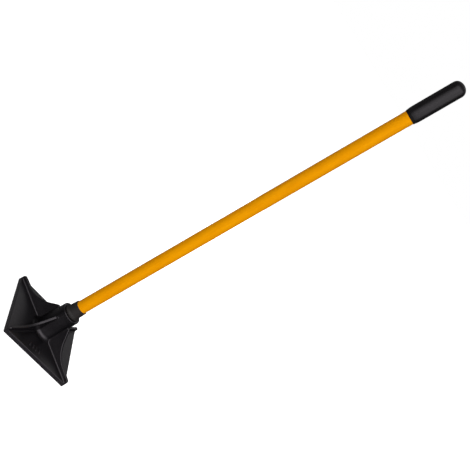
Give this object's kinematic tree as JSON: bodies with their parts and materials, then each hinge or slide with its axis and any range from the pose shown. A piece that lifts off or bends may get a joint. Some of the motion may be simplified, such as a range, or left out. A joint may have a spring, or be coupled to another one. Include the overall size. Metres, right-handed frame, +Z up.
{
  "type": "earth rammer",
  "caption": "Hand earth rammer: square ribbed cast-iron head with a round socket, moulded ferrule, straight round shaft and closed rubber grip.",
  "frame": {"origin": "middle of the flat working face, on the shaft's axis", "axes": "+Z up the shaft from the working face, X and Y square to the sides of the head"},
  "size_m": [0.2032, 0.2032, 1.115],
  "materials": {
    "cast_head": "satin black enamel over a cast surface",
    "ferrule_plastic": "moulded satin nylon",
    "shaft_laminate": "smooth pigmented glass-fibre laminate",
    "core_foam": "closed-cell foam",
    "plug_wood": "plain turned hardwood",
    "plug_plastic": "moulded",
    "grip_rubber": "smooth matte rubber",
    "pin_steel": "black oxide"
  },
  "bodies": {
    "root": {"rammer_head": "cast_head", "ferrule": "ferrule_plastic", "shaft_tube": "shaft_laminate", "shaft_core": "core_foam", "lower_plug": "plug_wood", "upper_plug": "plug_plastic", "grip_sleeve": "grip_rubber", "cross_pin": "pin_steel"}
  },
  "joints": []
}
